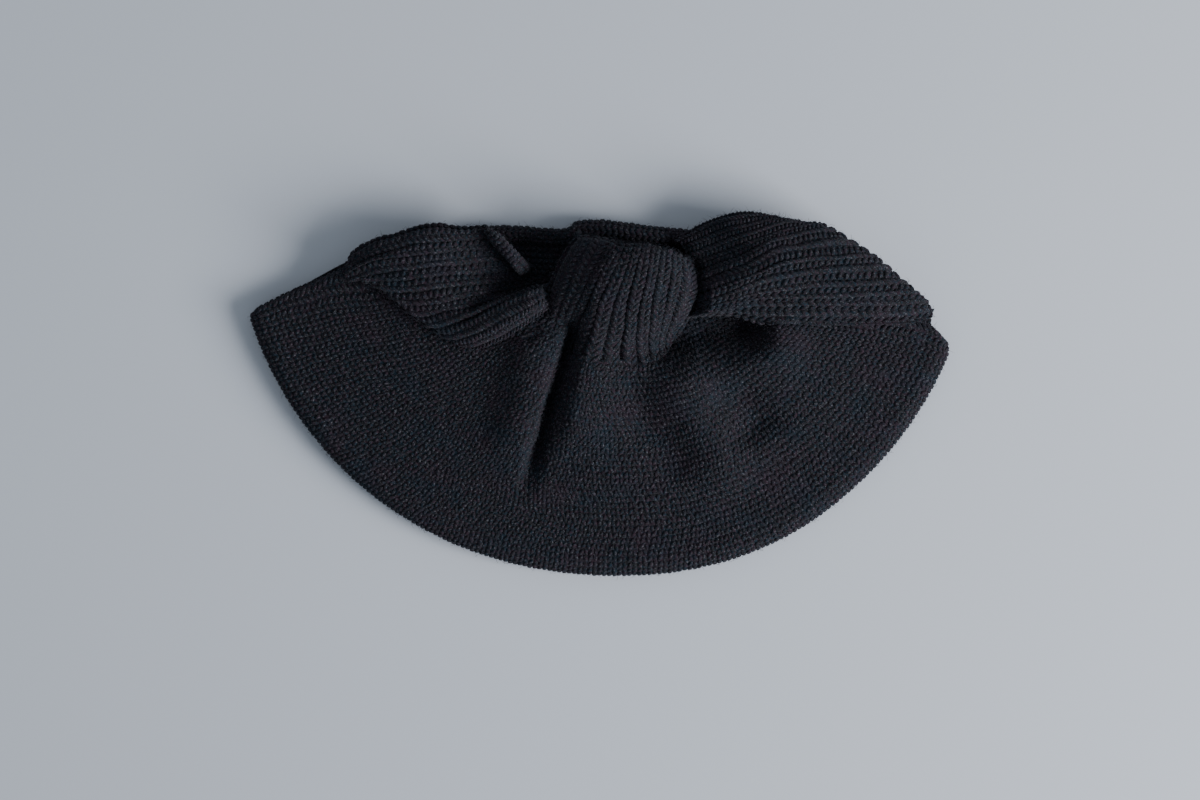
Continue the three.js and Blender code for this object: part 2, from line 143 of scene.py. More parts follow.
class Surface:
    """A grid of points over (u, v), read smoothly between its points."""

    def __init__(self, us, vs, points):
        self.us, self.vs, self.points = us, vs, points
        du = np.gradient(points, axis=0)
        dv = np.gradient(points, axis=1)
        self.normals = unit(np.cross(du, dv))
        if self.normals[len(us) // 2, len(vs) // 2][2] < 0:
            self.normals = -self.normals

    def read(self, grid, u, v):
        i = np.interp(u, self.us, np.arange(len(self.us)))
        j = np.interp(v, self.vs, np.arange(len(self.vs)))
        i0 = np.clip(i.astype(int), 0, len(self.us) - 2)
        j0 = np.clip(j.astype(int), 0, len(self.vs) - 2)
        a, b = (i - i0)[..., None], (j - j0)[..., None]
        low = grid[i0, j0] * (1 - a) + grid[i0 + 1, j0] * a
        high = grid[i0, j0 + 1] * (1 - a) + grid[i0 + 1, j0 + 1] * a
        return low * (1 - b) + high * b

    def at(self, u, v):
        return self.read(self.points, u, v)

    def normal(self, u, v):
        return unit(self.read(self.normals, u, v))

    def across(self, u, v, du=0, dv=0):
        """Distance between the two places that lie so far to either side."""
        return np.linalg.norm(self.at(u + du, v + dv) - self.at(u - du, v - dv), axis=-1)


def through(places, values, at_places):
    """Smooth interpolation of values through uneven places."""
    places = np.asarray(places, float)
    slopes = np.zeros_like(values)
    shape = (-1,) + (1,) * (values.ndim - 1)
    gaps = (places[2:] - places[:-2]).reshape(shape)
    slopes[1:-1] = (values[2:] - values[:-2]) / gaps
    slopes[0] = (values[1] - values[0]) / (places[1] - places[0])
    slopes[-1] = (values[-1] - values[-2]) / (places[-1] - places[-2])
    k = np.clip(np.searchsorted(places, at_places, side="right") - 1, 0, len(places) - 2)
    wide = (places[k + 1] - places[k]).reshape(shape)
    t = ((at_places - places[k]) / (places[k + 1] - places[k])).reshape(wide.shape)
    a, b, c, d = values[k], slopes[k] * wide, values[k + 1], slopes[k + 1] * wide
    return a * (1 - t) ** 2 * (1 + 2 * t) + b * t * (1 - t) ** 2 + c * t**2 * (3 - 2 * t) - d * t**2 * (1 - t)


def grooved(surface, depth):
    """The surface with a groove along every whole u, so that each column stands up round."""
    valley = (1 - np.abs(np.sin(math.pi * surface.us))) ** 1.3
    sink = valley[:, None] * depth(surface.us[:, None], surface.vs[None, :])
    out = Surface(surface.us, surface.vs, surface.points - surface.normals * sink[..., None])
    out.normals = surface.normals
    return out


# Meshes


def add(name, data):
    obj = bpy.data.objects.new(name, data)
    bpy.context.scene.collection.objects.link(obj)
    return obj


def mesh_object(name, points, quads, triangles=None, tone=None):
    """A smooth mesh in the scene. tone is a number for each point, which the wool's colour reads."""
    triangles = np.zeros((0, 3), int) if triangles is None else triangles
    mesh = bpy.data.meshes.new(name)
    mesh.vertices.add(len(points))
    mesh.vertices.foreach_set("co", ((points - BOX_MIDDLE) * MM).ravel())
    corners = np.concatenate([quads.ravel(), triangles.ravel()])
    sizes = np.concatenate([np.full(len(quads), 4), np.full(len(triangles), 3)])
    mesh.loops.add(len(corners))
    mesh.loops.foreach_set("vertex_index", corners.astype(np.int32))
    mesh.polygons.add(len(sizes))
    mesh.polygons.foreach_set("loop_start", np.concatenate([[0], np.cumsum(sizes)[:-1]]).astype(np.int32))
    mesh.polygons.foreach_set("loop_total", sizes.astype(np.int32))
    mesh.polygons.foreach_set("use_smooth", np.full(len(sizes), True))
    if tone is not None:
        layer = mesh.attributes.new("tone", "FLOAT", "POINT")
        layer.data.foreach_set("value", tone.astype(np.float32))
    mesh.update(calc_edges=True)
    mesh.validate()
    return add(name, mesh)


def grid_quads(rows, columns, start=0, flip=False):
    ids = start + np.arange(rows * columns).reshape(rows, columns)
    quads = np.stack([ids[:-1, :-1], ids[1:, :-1], ids[1:, 1:], ids[:-1, 1:]], axis=-1).reshape(-1, 4)
    return quads[:, ::-1] if flip else quads


def copied(faces, count, points):
    """The faces of so many copies of a form that has so many points."""
    return (faces[None] + (np.arange(count) * points)[:, None, None]).reshape(-1, faces.shape[1])


def shell(name, outer, inner):
    """Closed wall between two grids of the same size."""
    rows, columns = outer.shape[:2]
    points = np.concatenate([outer.reshape(-1, 3), inner.reshape(-1, 3)])
    n = rows * columns
    out = grid_quads(rows, columns)
    back = grid_quads(rows, columns, start=n, flip=True)
    ids = np.arange(n).reshape(rows, columns)
    border = np.concatenate([ids[0, :-1], ids[:-1, -1], ids[-1, :0:-1], ids[:0:-1, 0]])
    after = np.roll(border, -1)
    sides = np.stack([border, after, after + n, border + n], axis=-1)
    quads = np.concatenate([out, back, sides])
    a, b, c = (points[out[:, k]] for k in (0, 1, 2))
    if np.sum(np.cross(b - a, c - a) * (outer - inner).reshape(-1, 3)[out[:, 0]]) < 0:
        quads = quads[:, ::-1]
    return mesh_object(name, points, quads)


# Knitting: lanes are the columns of stitches, which thin out where the fabric narrows

LANE_KEEP = 0.88  # a lane ends where the fabric is narrower than this share of the lanes' full width
LANE_FADE = 0.08  # change in that share over which it ends
FLAT_REACH = ((10, 1), (10, 1), (6, 0), (6, 0))  # (points, axis) of each smoothing of the lanes' widths


def spread(k):
    """Evenly scattered numbers in (0, 1), by reversing the bits of k."""
    out = np.zeros(np.shape(k))
    part = 0.5
    k = np.array(k)
    while part > 1e-4:
        out += part * (k % 2)
        k = k // 2
        part /= 2
    return out + 1e-4


def averaged(grid, reach, axis):
    """A grid smoothed along one axis."""
    sums = np.cumsum(np.concatenate([np.repeat(np.take(grid, [0], axis), reach + 1, axis), grid,
                                     np.repeat(np.take(grid, [-1], axis), reach, axis)], axis), axis)
    wide = 2 * reach + 1
    count = grid.shape[axis]
    return (np.take(sums, np.arange(wide, wide + count), axis) - np.take(sums, np.arange(count), axis)) / wide


def lay_lanes(surface, pitch, flat=False):
    """For each lane and each row of the surface's grid: its middle, its half width, and how much it shows.
    flat lays them by the plan alone, so that folds don't push them aside."""
    us, points = surface.us, surface.points[..., :2] if flat else surface.points
    step = np.linalg.norm(np.diff(points, axis=0), axis=2)
    count = int(round(step.sum(axis=0).max() / pitch))
    share = (us - us[0]) / (us[-1] - us[0])
    local = step / np.diff(share)[:, None]
    ratio = np.vstack([local[:1], (local[1:] + local[:-1]) / 2, local[-1:]]) / (count * pitch)
    if flat:
        for reach, axis in FLAT_REACH:
            ratio = averaged(ratio, reach, axis)
    numbers = np.arange(count)
    first = (numbers + 0.5) / count
    middles, halves, shows = [], [], []
    for j in range(points.shape[1]):
        here = np.interp(first, share, ratio[:, j])
        weight = smooth((here - spread(numbers) * LANE_KEEP) / LANE_FADE + 0.5)
        alive = np.minimum(1.0, ratio[:, j] / LANE_KEEP)
        run = np.concatenate([[0], np.cumsum((alive[1:] + alive[:-1]) / 2 * np.diff(share))])
        total = np.cumsum(weight)
        scale = run[-1] / total[-1]
        a, b = np.interp((total - weight) * scale, run, share), np.interp(total * scale, run, share)
        middles.append((a + b) / 2)
        halves.append((b - a) / 2)
        shows.append(weight)
    span = us[-1] - us[0]
    return us[0] + np.array(middles).T * span, np.array(halves).T * span, np.array(shows).T


LEAST_LANE = 2.0  # narrower lanes are left out

# One leg of a stitch, from its foot to its top: sideways in lane half widths, along in rows, out in yarn
# radii, and its thickness
LEG = np.array([
    (0.02, -0.64, -1.7, 0.0),
    (0.13, -0.40, -0.30, 0.84),
    (0.36, -0.12, 0.20, 1.0),
    (0.62, 0.20, 0.20, 1.0),
    (0.84, 0.50, -0.35, 0.84),
    (0.92, 0.80, -1.8, 0.0),
])
LEG_SIDES = 5  # of its tube
LEG_SINK = 1.2  # yarn radii that its line is sunk by
YARN_SHARE = 0.49  # of a lane's half width, for the yarn's radius
ROW_SHARE = 0.38  # of a row's height, which limits it
YARN_RADIUS = (0.6, 1.3)  # least and most
# How much the legs differ: in radius, sideways, along and out
UNEVEN = (0.06, 0.03, 0.05, 0.1)


def knit(name, surface, lanes, rows, keep=None, up=1):
    """The yarn legs of the stitches over a surface. rows are the places of the rows in the surface's v, and
    up is 1 where the stitches point along it and -1 where they point back."""
    step = rows[1] - rows[0]
    u_grid, w_grid, s_grid = (
        np.array([[np.interp(v, surface.vs, lane) for v in rows] for lane in values]) for values in lanes
    )
    v_grid = np.broadcast_to(rows, u_grid.shape)
    drift = np.gradient(u_grid, axis=1)
    chosen = s_grid > 0.5
    if keep is not None:
        chosen &= keep(surface.at(u_grid, v_grid), u_grid, v_grid)
    chosen &= surface.across(u_grid, v_grid, du=w_grid) > LEAST_LANE
    u, w, d, v = (np.repeat(grid[chosen], 2) for grid in (u_grid, w_grid, drift, v_grid))
    hand = np.tile([1.0, -1.0], len(u) // 2)
    n = len(u)
    jitter = rng.normal(0, 1, (4, n))
    wide, high = surface.across(u, v, du=w) / 2, surface.across(u, v, dv=step / 2)
    radius = np.minimum(wide * YARN_SHARE, high * ROW_SHARE)
    radius = np.clip(radius, *YARN_RADIUS) * (1 + UNEVEN[0] * jitter[0])
    side, run, out, thick = LEG.T
    sideways = side + UNEVEN[1] * jitter[1][:, None]
    leg_u = u[:, None] + hand[:, None] * w[:, None] * sideways + d[:, None] * run * up
    leg_v = v[:, None] + up * step * (run + UNEVEN[2] * jitter[2][:, None])
    on = surface.at(leg_u, leg_v)
    normal = surface.normal(leg_u, leg_v)
    depth = (out - LEG_SINK + UNEVEN[3] * jitter[3][:, None]) * radius[:, None]
    line = on + normal * depth[..., None]
    ahead = unit(np.gradient(line, axis=1))
    across = unit(np.cross(ahead, normal))
    over = np.cross(across, ahead)
    sides = LEG_SIDES
    turn = 2 * math.pi * (np.arange(sides) + 0.5) / sides
    ring = across[:, 1:-1, None] * np.cos(turn)[:, None] + over[:, 1:-1, None] * np.sin(turn)[:, None]
    ring = line[:, 1:-1, None] + ring * (radius[:, None] * thick[1:-1])[..., None, None]
    rings = ring.shape[1]
    per = rings * sides + 2
    points = np.concatenate([ring.reshape(n, -1, 3), line[:, :1], line[:, -1:]], axis=1).reshape(-1, 3)
    k = np.arange(sides)
    after = (k + 1) % sides
    last = (rings - 1) * sides
    quads = np.concatenate([
        np.stack([k + low, k + low + sides, after + low + sides, after + low], 1)
        for low in range(0, last, sides)
    ])
    tips = np.concatenate([
        np.stack([np.full(sides, per - 2), k, after], 1),
        np.stack([np.full(sides, per - 1), after + last, k + last], 1),
    ])
    tone = np.repeat(rng.uniform(0, 1, n), per)
    return mesh_object(name, points, copied(quads, n, per), copied(tips, n, per), tone)


FIBRE_REACH = (1.6, 4.2)  # least and most
FIBRE_THICK = 0.075
FIBRE_SINK = 0.5  # depth of its foot
FIBRE_POINTS = 7  # three round its foot, three round its bend, and its tip
FIBRE_FLOOR = 0.1  # least height of any


def fuzz(name, surface, count, seen=None):
    """Loose fibres lying over a surface, each a thin spike bent once."""
    u, v = surface.us, surface.vs
    uu = rng.uniform(u[0], u[-1], count)
    vv = rng.uniform(v[0], v[-1], count)
    if seen is not None:
        kept = seen(surface.at(uu, vv), uu, vv)
        uu, vv = uu[kept], vv[kept]
    n = len(uu)
    foot, normal = surface.at(uu, vv), surface.normal(uu, vv)
    way = unit(np.cross(normal, unit(rng.normal(0, 1, (n, 3)))))
    length = rng.uniform(*FIBRE_REACH, n)[:, None]
    lift = rng.uniform(0.05, 0.75, n)[:, None] ** 1.5
    foot = foot - normal * FIBRE_SINK
    bend = foot + (way * 0.5 + normal * (0.25 + lift * 0.5)) * length
    tip = bend + unit(way + rng.normal(0, 0.5, (n, 3)) + normal * (lift - 0.35)) * length * 0.5
    side = unit(np.cross(way, normal))
    up = np.cross(side, way)
    turn = np.radians([90, 210, 330])
    ring = side[:, None] * np.cos(turn)[:, None] + up[:, None] * np.sin(turn)[:, None]
    at_foot, at_bend = foot[:, None] + ring * FIBRE_THICK, bend[:, None] + ring * FIBRE_THICK * 0.8
    points = np.concatenate([at_foot, at_bend, tip[:, None]], axis=1)
    points[..., 2] = np.maximum(points[..., 2], FIBRE_FLOOR)
    quads = np.array([[0, 3, 4, 1], [1, 4, 5, 2], [2, 5, 3, 0]])[:, ::-1]
    tips = np.array([[3, 6, 4], [4, 6, 5], [5, 6, 3], [0, 1, 2]])[:, ::-1]
    tone = np.repeat(rng.uniform(0, 1, n), FIBRE_POINTS)
    quads, tips = (copied(faces, n, FIBRE_POINTS) for faces in (quads, tips))
    return mesh_object(name, points.reshape(-1, 3), quads, tips, tone)


# Crown

# The back wall's straight edge
BACK_EDGE = [
    (-148, 61), (-128, 71), (-100, 78), (-57, 83), (0, 84), (52, 82), (100, 79), (138, 64), (172, 40),
]

# Folds of the top wall: height, width on the left and right of the line, and the line
CROWN_FOLDS = [
    (-12, 4, 6, [(-17, 34), (-24, 10), (-30.5, -10), (-34.5, -28), (-41, -56)]),
    (6, 7, 16, [(-6, 22), (-11, 0), (-17, -35)]),
    (5.5, 14, 12, [(28, 18), (47, -7), (60, -28), (76, -56)]),
    (-3, 11, 11, [(20, 0), (24, -16), (38, -34), (46, -46)]),
    (-5, 14, 14, [(62, 10), (76, -8), (86, -26)]),
    (-19, 17, 17, [(33, 31), (44, 36), (60, 38.5), (78, 40.5), (92, 42)]),
    (4, 12, 15, [(54, 9), (62, 12), (82, 21), (100, 30), (114, 37)]),
    (6, 10, 12, [(-36, 22), (-43, -8), (-52, -38)]),
    (-22, 11, 11, [(-24, 63), (-42, 65), (-58, 67), (-80, 69)]),
]
FOLD_FADE = 0.35  # share of a fold's line over which it fades out
LEAST_HEIGHT = 8.0  # of the top wall, in its hollows

# The flap beside the valley, which leans over it
VALLEY = np.array(CROWN_FOLDS[0][3], float)
FLAP_REACH = 5.0
FLAP_RISE = 1.2
FLAP_EDGE = 4.5  # distance from the valley's line to where it leans most
FLAP_WIDE = (22, 6)  # how far it reaches behind that place and before it
FLAP_FADE = 0.4  # share of the valley's line over which it fades out
FLAP_START = 20  # distance from the rim where it starts, and over which it grows

# Columns of the top wall, from the rim to where they are gathered, from the left corner to the right one
CROWN_COLUMNS = [
    [(-181.5, 46), (-163.8, 55.1), (-145.6, 63.2), (-130, 69.9), (-111.8, 76.2), (-88.4, 75.1),
     (-67.6, 69.9), (-49.4, 65.8)],
    [(-177.8, 37.2), (-156, 44.5), (-132.6, 49.7), (-111.8, 51.7), (-91, 54.3), (-67.6, 56.4), (-46.8, 58.5)],
    [(-173.2, 28.3), (-147.4, 35.6), (-125.3, 40.3), (-107.6, 42.9), (-88.4, 45), (-65, 48.6), (-44.2, 53.3)],
    [(-163.8, 6), (-142.5, 13.3), (-118.6, 21.1), (-96.2, 27.3), (-81.3, 30.4), (-57.2, 37.2), (-39, 43.9),
     (-23.4, 49.1)],
    [(-156, -8.6), (-131.6, 0.5), (-110.8, 7), (-87.9, 15.9), (-62.4, 26.3), (-41.6, 36.1), (-28.6, 42.9),
     (-18.2, 47.1)],
    [(-142.5, -25.7), (-119.6, -15.9), (-98.3, -6), (-75.9, 5.5), (-62.4, 13.3), (-45.2, 23.9),
     (-29.6, 34.1), (-15.6, 42.9)],
    [(-126.9, -43.4), (-107.6, -32), (-91.5, -21.6), (-75.9, -9.6), (-62.4, 0.8), (-49.4, 11.7),
     (-33.8, 23.1), (-22.4, 33), (-11.4, 41.9)],
    [(-108.2, -61.6), (-92, -48.1), (-79, -34.1), (-66.6, -19.5), (-53, -5.5), (-40, 6), (-28.1, 16.9),
     (-18.7, 30.4), (-9.4, 40.8)],
    [(-83.2, -77.2), (-74.9, -64.2), (-64.5, -49.7), (-53, -35.1), (-42.6, -22.6), (-33.3, -8.6), (-25, 6.5),
     (-16.6, 26.8), (-8.3, 38.7)],
    [(-57.2, -87.1), (-50.4, -70.5), (-44.2, -54.9), (-39, -40.8), (-34.3, -26.8), (-28.6, -9.6), (-22.9, 6),
     (-15.6, 23.1)],
    [(-30.2, -92.3), (-26, -77.2), (-22.9, -61.6), (-20.3, -47.6), (-17.7, -33), (-15.1, -18.5), (-12, -2.9),
     (-8.3, 12.7), (-5.2, 24.2)],
    [(-1, -94.9), (1, -78.3), (1.6, -62.1), (0.5, -43.4), (-1, -27.8), (-1.6, -12.2), (-1, 3.4), (1, 21.6)],
    [(16.6, -94.9), (17.4, -78.3), (16.1, -58), (14, -38.2), (11.4, -20.5), (9.4, -1.8), (8.3, 23.1)],
    [(42.6, -91.8), (43.7, -74.1), (42.9, -58), (41.1, -42.4), (38, -25.7), (33.3, -9.6), (27, 4.4),
     (19.8, 21.6)],
    [(65, -86.6), (61.9, -71), (58.2, -54.9), (53.6, -39.3), (48.9, -23.7), (43.7, -8.1), (37.4, 6),
     (28.6, 23.1), (25, 32)],
    [(98.8, -71.5), (87.9, -51.2), (77.5, -34.1), (68.1, -20), (58.8, -6), (49.4, 8.6), (39, 26.8),
     (30.2, 38.7)],
    [(127.4, -48.6), (114.4, -30.9), (101.4, -14.8), (87.4, -0.8), (72.8, 12.7), (57.2, 24.2), (44.2, 33),
     (31.2, 42.9)],
    [(152.4, -25.2), (136.2, -10.1), (118.6, 3.4), (99.8, 15.3), (80.6, 24.2), (62.4, 31.5), (46.8, 38.7),
     (33.3, 46)],
    [(169, -0.3), (150.8, 12.2), (130, 21.1), (109.2, 27.3), (88.4, 31.5), (67.6, 35.6), (52, 41.9),
     (35.4, 49.1)],
    [(179.9, 20), (162.2, 26.8), (140.4, 30.9), (119.6, 34.1), (98.8, 36.7), (78, 39.8), (57.2, 45),
     (37.4, 51.2)],
    [(182, 30.4), (172.6, 38.7), (156, 42.9), (135.2, 45), (114.4, 46), (93.6, 47.1), (67.6, 48.1),
     (41.6, 52.3)],
]


def rim(u):
    """The round edge, for u from -1 at the left corner to 1 at the right one."""
    angle = np.radians(mix(*RIM_ANGLE, (u + 1) / 2))
    radius = mix(*RIM_RADIUS, smooth((u + 0.1) / 0.6))
    corner = np.where(u < 0, CORNER_ROUND[0], CORNER_ROUND[1])
    to_end = (1 - np.abs(u)) * radius * math.radians(RIM_SPAN) / 2
    radius = radius - corner * (1 - edge_round(to_end, corner))
    return np.stack([RIM_CENTRE[0] + radius * np.sin(angle), RIM_CENTRE[1] - radius * np.cos(angle)], axis=-1)


def crown_height(x, y):
    from_rim = RIM_RADIUS[0] - np.hypot(x - RIM_CENTRE[0], y - RIM_CENTRE[1])
    height = FOLD_HEIGHT + CROWN_RISE * smooth(from_rim / CROWN_RISE_RUN)
    for rise, left, right, line in CROWN_FOLDS:
        distance, share = beside(line, x, y)
        width = np.where(distance > 0, right, left)
        height = height + rise * smooth((1 - share) / FOLD_FADE) * np.exp(-((distance / width) ** 2))
    return np.maximum(height, LEAST_HEIGHT)


def crown_columns(us, distances):
    """Plan points along the columns, at distances inwards from the rim, and the columns' lengths."""
    places, steps, lengths = [], [], []
    for column in CROWN_COLUMNS:
        line = curve(column)
        run = run_of(line)
        x, y = line[0] - RIM_CENTRE
        places.append(2 * (math.degrees(math.atan2(x, -y)) - RIM_ANGLE[0]) / RIM_SPAN - 1)
        step = [np.interp(distances, run, line[:, k]) - line[0, k] for k in range(2)]
        steps.append(np.stack(step, axis=-1))
        lengths.append(run[-1])
    places[0], places[-1] = -1.0, 1.0
    return rim(us)[:, None] + through(places, np.array(steps), us), np.interp(us, places, lengths)


# Places beside the corners where the wall is read more closely, in u
FLANK = (0.004, 0.008, 0.014, 0.022, 0.032, 0.045, 0.06)
UNDER_REACH = 14  # how far the top wall is carried round under the rim
COLUMN_REACH = 180  # longer than any column
UNDER_HEIGHT = 0.6  # of the folded edge's underside


def crown_surface():
    """The top wall with its folded edges, from a little way under them. u is across the columns, v along
    them. Returns the columns' lengths too."""
    flank = np.array(FLANK)
    us = np.concatenate([-1 - flank[::-1], -1 + np.concatenate([[0], flank]), np.linspace(-0.93, 0.93, 375),
                         1 - np.concatenate([flank[::-1], [0]]), 1 + flank])
    vs = np.arange(-UNDER_REACH, COLUMN_REACH, 1.0)
    quarter = math.pi / 2 * math.sqrt((FOLD_REACH**2 + FOLD_RISE**2) / 2)
    turned = math.pi / 2 * FOLD_RISE
    phi = np.clip(np.where(vs >= 0, vs / quarter, -vs / turned), 0, 1) * math.pi / 2
    reach = np.where(vs >= 0, FOLD_REACH, FOLD_RISE)
    distance = reach * (1 - np.cos(phi)) + np.maximum(np.where(vs >= 0, vs - quarter, -vs - turned), 0)
    folded = np.where(np.abs(us) > 1, np.sign(us) * 2 - us, us)
    plan, lengths = crown_columns(folded, distance)
    ends, _ = crown_columns(np.array([-1.0, 1.0]), distance)
    to_side = np.minimum(np.linalg.norm(plan - ends[:1], axis=2), np.linalg.norm(plan - ends[1:], axis=2))
    x, y = plan[..., 0], plan[..., 1]
    top = FOLD_RISE + (crown_height(x, y) - FOLD_RISE) * np.sin(phi) * edge_round(to_side, FOLD_REACH)
    fall = (FOLD_RISE - UNDER_HEIGHT) * np.maximum(np.sin(phi), 0)
    bottom = FOLD_RISE - fall * edge_round(to_side, FOLD_RISE)
    on_top = (vs >= 0) & (np.abs(us) <= 1)[:, None]
    z = np.where(on_top, top, bottom)
    distance, share = beside(VALLEY, x, y)
    beyond = distance + FLAP_EDGE
    behind, before = smooth(1 + beyond / FLAP_WIDE[0]), smooth(1 - beyond / FLAP_WIDE[1])
    lean = np.where(beyond < 0, behind, before) * smooth((1 - share) / FLAP_FADE)
    lean = lean * smooth((vs[None, :] - FLAP_START) / FLAP_START)
    x = x + FLAP_REACH * lean
    z = z + FLAP_RISE * lean
    surface = Surface(us, vs, np.dstack([x, y, z]))
    # The folded edges face outwards
    to_middle = unit(np.array([0.0, 30.0]) - rim(np.clip(us, -1, 1)))[:, None]
    side_way = unit(ends[np.where(us < 0, 1, 0)] - ends[np.where(us < 0, 0, 1)])
    side = edge_round(to_side, FOLD_REACH)
    flat = -to_middle * np.cos(phi)[None, :, None] * side[..., None] - side_way * (1 - side)[..., None]
    rise = np.sin(phi)[None, :] * side * np.where(on_top, 1, -1)
    outward = unit(np.dstack([flat, rise]))
    near = smooth((9 - to_side) / 5)[..., None]
    surface.normals = unit(surface.normals * (1 - near) + outward * near)
    return surface, lengths


BASE_DEPTH = 0.95  # of the smooth wall under the knit's face
BASE_UNDER = 9  # how far that wall is carried round under the rim
BACK_HEIGHT = 0.3  # of the back wall over the floor
BACK_INSET = 5  # of its round edge, under the folded one
BACK_LIFT = 2.2  # of its straight edge, which rounds up
BACK_THINNER = 0.4  # than the knitted wall


def crown_walls(surface, lengths):
    """The smooth walls under the knit: the top one with its folded edges, and the back one on the floor."""
    us = np.concatenate([surface.us[:8], surface.us[8:-8:2], surface.us[-8:]])
    length = np.interp(us, surface.us, lengths) * 0.985
    shares = np.linspace(0, 1, 74)[None, :] ** 0.9
    vv = -BASE_UNDER + (length[:, None] + BASE_UNDER) * shares
    uu = np.broadcast_to(us[:, None], vv.shape)
    uu = np.where(vv < 2, np.clip(uu, -1, 1), uu)
    normal = surface.normal(uu, vv)
    outer = surface.at(uu, vv) - normal * BASE_DEPTH
    top = shell("crown_wall", outer, outer - normal * (WALL - BASE_DEPTH))
    us = np.linspace(-1, 1, 161)
    start = rim(us)
    start = start + unit(np.array([0.0, 40.0]) - start) * BACK_INSET
    end = at(curve(BACK_EDGE), (us + 1) / 2)
    shares = np.linspace(0, 1, 24)[None, :, None]
    plan = start[:, None] * (1 - shares) + end[:, None] * shares
    lift = BACK_LIFT * (1 - edge_round(np.linalg.norm(plan - end[:, None], axis=2), 3.0))
    back = np.dstack([plan, BACK_HEIGHT + lift])
    inner = back + np.array([0, 0, WALL - BACK_THINNER]) - lift[..., None] * [0, 0, 0.8]
    return top, shell("crown_back", back, inner)


# Lines of columns given one by one

GUIDED_ROWS = 70
EDGE_DEPTH = 12.6  # from the top of a rolled edge to its underside
LEAST_DROP = 3  # the same where it lies low
BEVEL = 0.4  # share of either that the top falls before the edge itself
BEVEL_WIDE = 7.0  # how far in it starts to fall
SIDE_SHARE = 0.6  # of the drop, counted in the columns' places over a side


def over_edge(steps, share):
    """Insets, shares of the drop, and how far along them each step is."""
    insets, falls = np.array(steps).T
    run = np.hypot(np.diff(insets, prepend=0), np.diff(falls, prepend=0) * EDGE_DEPTH * share)
    return insets, falls, np.cumsum(run)


def guided(lines, heights, width, rolled, ended, ground, dense=8):
    """A surface through guide lines, which lie between its columns. u counts the guides, v runs along them.
    heights(s, t, x, y) is its top, for s across and t along. rolled and ended carry it over its sides and end
    in steps of (inset, share of the drop), no lower than the ground."""
    n = len(lines) - 1
    us = np.linspace(0, n, n * dense + 1)
    shares = np.linspace(0, 1, GUIDED_ROWS)
    grid = np.array([at(curve(line), shares) for line in lines])
    plan = through(np.arange(n + 1), grid, us)
    length = np.linalg.norm(np.diff(grid, axis=1), axis=2).sum(axis=1).mean()
    x, y = plan[..., 0], plan[..., 1]
    level = heights((us / n)[:, None] + 0 * x, shares[None, :] + 0 * x, x, y)
    drop = np.clip(level - ground(x, y), LEAST_DROP, EDGE_DEPTH)
    flat = np.ones(level.shape)
    for side in (0, -1):
        flat = flat * edge_round(np.linalg.norm(plan - plan[side][None], axis=2), BEVEL_WIDE)
    flat = flat * edge_round((1 - shares)[None, :] * length, BEVEL_WIDE)
    z = level - BEVEL * drop * (1 - flat)

    # Over the end
    insets, falls, run = over_edge(ended, 1)
    back = unit(plan.mean(axis=(0, 1)) - plan[:, -1])
    plan = np.concatenate([plan, plan[:, -1:] + back[:, None] * insets[None, :, None]], axis=1)
    level, drop = (np.concatenate([a] + [a[:, -1:]] * len(run), axis=1) for a in (level, drop))
    end = level[:, -len(run):] - drop[:, -len(run):] * (BEVEL + (1 - BEVEL) * falls)
    points = np.dstack([plan, np.concatenate([z, end], axis=1)])
    vs = shares * length
    fallen = np.concatenate([np.zeros(len(vs)), falls])
    vs = np.concatenate([vs, vs[-1] + run])

    # Over the sides
    insets, falls, run = over_edge(rolled, SIDE_SHARE)
    run = run / width
    inset = np.clip(insets / width, -0.5, n / 2)
    total = np.minimum(np.hypot(falls[:, None], fallen[None, :]), 1)

    def under(plan, level, drop):
        place = inset * dense
        k = np.maximum(place.astype(int), 0)
        part = (place - k)[:, None, None]
        low = level[0] - drop[0] * (BEVEL + (1 - BEVEL) * total)
        return np.dstack([plan[k] * (1 - part) + plan[k + 1] * part, low])

    first, last = under(plan, level, drop)[::-1], under(plan[::-1], level[::-1], drop[::-1])
    points = np.concatenate([first, points, last])
    us = np.concatenate([-run[::-1], us, n + run])
    points[..., 2] = np.maximum(points[..., 2], ground(points[..., 0], points[..., 1]))
    return Surface(us, vs, points)


def even_lanes(surface):
    """One lane between every two whole u."""
    first, last = math.ceil(surface.us[0]), math.floor(surface.us[-1])
    middles = np.repeat(np.arange(first, last)[:, None] + 0.5, len(surface.vs), axis=1)
    return middles, 0 * middles + 0.5, 0 * middles + 1


def table(values, across, lengthwise):
    """Reads a table of heights smoothly. Its rows are places lengthwise and its columns are places across."""
    values = np.asarray(values, float)

    def read(s, t):
        i = np.interp(t, lengthwise, np.arange(len(lengthwise)))
        j = np.interp(s, across, np.arange(len(across)))
        i0 = np.minimum(i.astype(int), len(lengthwise) - 2)
        j0 = np.minimum(j.astype(int), len(across) - 2)
        a, b = smooth(i - i0), smooth(j - j0)
        a, b = mix(i - i0, a, 0.5), mix(j - j0, b, 0.5)
        near = mix(values[i0, j0], values[i0, j0 + 1], b)
        far = mix(values[i0 + 1, j0], values[i0 + 1, j0 + 1], b)
        return mix(near, far, a)

    return read


# Band

